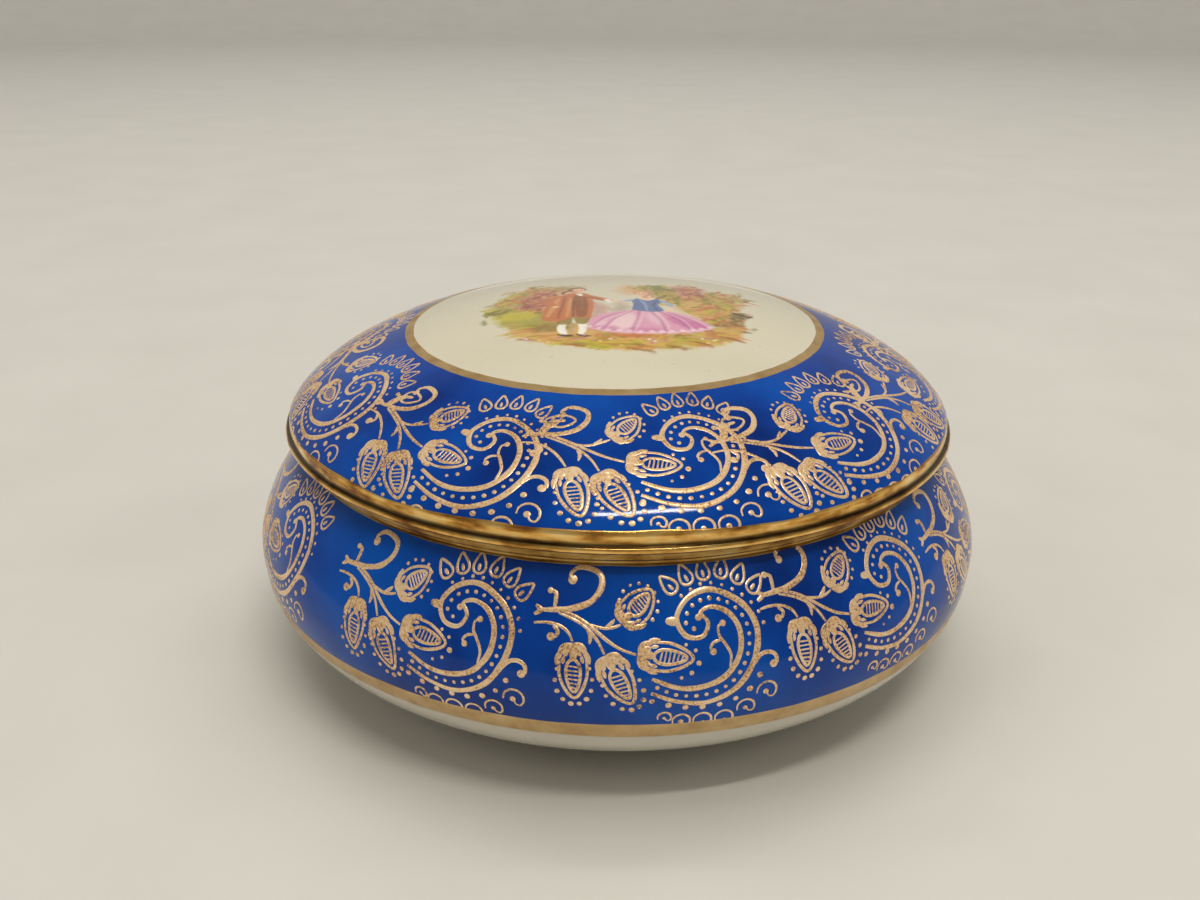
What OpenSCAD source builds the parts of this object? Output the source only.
// Porcelain trinket box: a round bowl with a foot ring and a domed lift-off lid.
// Both pieces are porcelain. The blue enamel, the gilding and the picture on the lid
// are separate thin layers let into the porcelain, so the outside stays smooth.
// Millimetres, +Z up. The origin is the centre of the foot ring, on the table.

/* [Lid] */
// Diameter of the lid at its edge
lid_d = 100; // [80:1:140]
// Height of the crown above the lid's edge
lid_rise = 16.5; // [8:0.5:30]
// Roundness of the crown: higher is flatter in the middle
lid_round = 2.1; // [1.6:0.05:3]
// Steepness of the lid towards its edge: lower is steeper
lid_steep = 0.62; // [0.5:0.02:1]
// Height from the seat to where the crown's curve ends
lid_lip = 0.8; // [0.3:0.1:1.5]
// Radius of the bead round the lid's edge
bead_r = 0.45; // [0.4:0.05:0.8]
// How far the upright face above the bead stands back from it
bead_step = 0.58; // [0.5:0.02:1]
// Wall thickness at the crown
lid_wall = 3; // [2:0.1:5]

/* [Fit of the lid] */
// Height of the seat, where the lid rests on the mouth
seat_z = 35.9; // [25:0.1:60]
// Outer radius of the locating flange under the lid
flange_r = 44.7; // [35:0.1:65]
// Wall thickness of the flange
flange_wall = 2.5; // [1.5:0.1:4]
// How far the flange reaches below the seat
flange_depth = 4.5; // [2:0.1:10]
// Radial play between the flange and the mouth
flange_play = 0.6; // [0.2:0.1:1.5]

/* [Base] */
// Largest diameter of the base
belly_d = 110; // [85:1:155]
// Height of the widest point
belly_z = 19.5; // [10:0.5:40]
// Outer radius of the neck, just under the mouth
neck_r = 47.4; // [35:0.1:70]
// Outer radius of the mouth
mouth_r = 48.2; // [35:0.1:70]
// Height of the gilt mouth band
mouth_h = 1.9; // [1:0.1:4]
// Wall thickness of the bowl
bowl_wall = 3; // [2:0.1:5]
// Height of the inside floor
floor_z = 6.5; // [5:0.1:12]

/* [Foot ring] */
// Outer radius of the foot ring
foot_r = 33; // [20:0.5:50]
// Width of the foot ring
foot_w = 3.4; // [2:0.1:6]
// Height of the foot ring
foot_h = 3.2; // [1.5:0.1:6]

/* [Decoration] */
// Thickness of each fired-on layer
layer = 0.3; // [0.2:0.05:0.6]
// Radius of the picture in the middle of the lid
picture_r = 30.1; // [15:0.1:45]
// Width of the gilt line round the picture
line_w = 1.3; // [0.5:0.1:3]
// Radius where the blue band on the lid meets the gilt edge
lid_blue_r = 49.2; // [35:0.1:69]
// Height of the lower end of the gilt line under the blue band
low_gilt_z = 13.3; // [8:0.1:30]
// Height of the upper end of that line, where the blue band starts
blue_z = 15.6; // [9:0.1:32]

/* [Hidden] */
$fn = 120;
lid_r = lid_d / 2;
belly_r = belly_d / 2;
edge_z = seat_z + lid_lip;
crown_z = edge_z + lid_rise;
neck_z = seat_z - mouth_h - 0.3;
under_h = belly_z - foot_h;
bore_r = flange_r + flange_play;
hole_r = flange_r - flange_wall;
round_r = 0.6;
enamel_blue = [0.02, 0.14, 0.47];
gilding = [0.80, 0.60, 0.25];
porcelain = [0.93, 0.91, 0.86];

// Which piece to draw

// Points from index a to index b of a list, and a list turned round.
function part_of(p, a, b) = [for (i = [a:b]) p[i]];
function reversed(p) = [for (i = [len(p) - 1:-1:0]) p[i]];
function tail(p) = part_of(p, 1, len(p) - 1);

// Points on a quarter arc about [cx, cz], from angle a to angle b.
function arc(cx, cz, r, a, b, n) =
    [for (i = [0:n]) let (t = a + (b - a) * i / n) [cx + r * cos(t), cz + r * sin(t)]];

// Every point of a curve moved by t towards the clay, square to the curve. The clay is
// on the right-hand side of the curve's direction if side is 1, on its left if -1.
function sunk(p, t, side) =
    [for (i = [0:len(p) - 1])
        let (d = p[min(i + 1, len(p) - 1)] - p[max(i - 1, 0)], n = norm(d))
        [max(0, p[i][0] + side * t * d[1] / n), p[i][1] - side * t * d[0] / n]];

// The crown: a rounded dome, from radius ra out to radius rb.
function crown_at(t) =
    [lid_r * sin(t), edge_z + lid_rise * pow(1 - pow(sin(t), lid_round), lid_steep)];
function crown(ra, rb, n) =
    let (a = asin(ra / lid_r), b = asin(rb / lid_r))
    [for (i = [0:n]) crown_at(a + (b - a) * i / n)];

// Outside of the lid, from the crown over the upright edge and its bead to the seat.
picture_curve = crown(0, picture_r, 12);
line_curve = crown(picture_r, picture_r + line_w, 1);
blue_curve = crown(picture_r + line_w, lid_blue_r, 10);
bead_z = seat_z + bead_r + 0.15;
wall_r = lid_r - bead_step;
edge_curve = concat([crown_at(asin(lid_blue_r / lid_r))],
                    [[wall_r - 0.12, bead_z + 2], [wall_r - 0.05, bead_z + 1.7],
                     [wall_r - 0.01, bead_z + 1.3], [wall_r, bead_z + 0.85],
                     [wall_r + 0.02, bead_z + 0.62], [wall_r + 0.05, bead_z + 0.5]],
                    arc(lid_r - bead_r, bead_z, bead_r, 95, -90, 12),
                    [[lid_r - lid_lip, seat_z], [lid_r - lid_lip - 0.5, seat_z]]);
lid_out = concat(picture_curve, tail(line_curve), tail(blue_curve), tail(edge_curve));
lid_in = let (s = sunk(lid_out, layer, 1))
    [for (i = [0:len(s) - 1]) i == 0 ? [0, lid_out[0][1] - layer] : s[i]];
lid_i1 = 12;
lid_i2 = 13;
lid_i3 = 23;
lid_i4 = len(lid_out) - 1;

// Underside of the dome, from the flange's inner wall up to the middle.
hollow_z = edge_z + 0.2;
hollow_rise = crown_z - lid_wall - hollow_z;
lid_hollow = [for (i = [0:16]) let (t = 90 - 90 * i / 16)
    [hole_r * sin(t), hollow_z + hollow_rise * pow(1 - pow(sin(t), lid_round), 0.6)]];

// Outside of the base. Below the belly it rounds in towards the foot, above it to the neck.
function under_at(z) =
    foot_r + (belly_r - foot_r) * sqrt(1 - pow((belly_z - z) / under_h, 2.4));
function over_at(z) = belly_r - (belly_r - neck_r) * pow((z - belly_z) / (neck_z - belly_z), 1.7);
function side_at(z) = z < belly_z ? under_at(z) : over_at(z);
function side(za, zb, n) = [for (i = [0:n]) let (z = za + (zb - za) * i / n) [side_at(z), z]];

white_curve = [for (i = [0:10]) let (t = asin(pow((belly_z - low_gilt_z) / under_h, 1.2)),
    a = 90 + (t - 90) * i / 10)
    [foot_r + (belly_r - foot_r) * cos(a), belly_z - under_h * pow(sin(a), 1 / 1.2)]];
lower_curve = side(low_gilt_z, blue_z, 2);
cobalt_curve = concat(side(blue_z, belly_z, 4), tail(side(belly_z, neck_z, 10)));
rim_curve = concat([[neck_r, neck_z], [neck_r, neck_z + 0.3]],
                   [[mouth_r - 0.25, neck_z + 0.6], [mouth_r, neck_z + 1.0]],
                   arc(mouth_r - round_r, seat_z - round_r, round_r, 0, 90, 6),
                   [[mouth_r - round_r - 0.5, seat_z]]);
base_out = concat(white_curve, tail(lower_curve), tail(cobalt_curve), tail(rim_curve));
base_in = sunk(base_out, layer, -1);
base_i1 = 10;
base_i2 = 12;
base_i3 = 26;
base_i4 = len(base_out) - 1;

// Inside of the base, from the mouth down to the floor.
belly_in = belly_r - bowl_wall;
floor_r = foot_r - 3;
throat_z = seat_z - flange_depth - 1.5;
base_hollow = concat(
    arc(bore_r + round_r, seat_z - round_r, round_r, 90, 180, 6),
    [for (i = [0:10]) let (z = throat_z + (belly_z - throat_z) * i / 10)
        [belly_in - (belly_in - bore_r) * pow((z - belly_z) / (throat_z - belly_z), 1.7), z]],
    [for (i = [1:14]) let (a = 90 * i / 14)
        [floor_r + (belly_in - floor_r) * cos(a),
         belly_z - (belly_z - floor_z) * pow(sin(a), 1 / 1.2)]],
    [[0, floor_z]]);

// Foot ring, from the middle of the underside round to the bowl.
foot_in = foot_r - foot_w;
foot_curve = concat(
    [[0, foot_h - 0.2]],
    arc(foot_in - 0.8, foot_h - 1, 0.8, 90, 0, 5),
    arc(foot_in + 0.7, 0.7, 0.7, 180, 270, 5),
    arc(foot_r - 0.9, 0.7, 0.7, 270, 360, 5),
    arc(foot_r + 0.6, foot_h - 0.8, 0.8, 180, 90, 5));

// A layer between two curves that share their end faces.
module band(outer, inner, a, b) {
    rotate_extrude() polygon(concat(part_of(outer, a, b), reversed(part_of(inner, a, b))));
}

// Porcelain bowl with its foot ring; the outside is let in under the blue and the gilding.
module base_bowl() {
    color(porcelain) rotate_extrude() polygon(concat(
        foot_curve, tail(part_of(base_out, 0, base_i1)),
        part_of(base_in, base_i1, base_i4), [base_out[base_i4]], base_hollow));
}

// Blue enamel round the belly and the shoulder.
module base_cobalt_ground() {
    color(enamel_blue) band(base_out, base_in, base_i2, base_i3);
}

// Gilt band on the mouth.
module base_rim_gilding() {
    color(gilding) band(base_out, base_in, base_i3, base_i4);
}

// Gilt line that closes the blue band underneath.
module base_lower_gilding() {
    color(gilding) band(base_out, base_in, base_i1, base_i2);
}

// Porcelain lid with the flange that locates it in the mouth.
module lid_shell() {
    flange_z = seat_z - flange_depth;
    color(porcelain) rotate_extrude() polygon(concat(
        part_of(lid_in, 0, lid_i4), [lid_out[lid_i4]],
        [[flange_r, seat_z]],
        arc(flange_r - 0.8, flange_z + 0.8, 0.8, 0, -90, 5),
        arc(hole_r + 0.8, flange_z + 0.8, 0.8, -90, -180, 5),
        lid_hollow));
}

// Blue enamel round the dome.
module lid_cobalt_ground() {
    color(enamel_blue) band(lid_out, lid_in, lid_i2, lid_i3);
}

// Gilt band brushed on the lid's edge.
module lid_edge_gilding() {
    color(gilding) band(lid_out, lid_in, lid_i3, lid_i4);
}

// Gilt line round the picture.
module lid_medallion_line() {
    color(gilding) band(lid_out, lid_in, lid_i1, lid_i2);
}

// Painted scene in the middle of the lid.
module lid_medallion_picture() {
    color([0.80, 0.76, 0.62]) band(lid_out, lid_in, 0, lid_i1);
}

base_bowl();
base_cobalt_ground();
base_rim_gilding();
base_lower_gilding();
lid_shell();
lid_cobalt_ground();
lid_edge_gilding();
lid_medallion_line();
lid_medallion_picture();
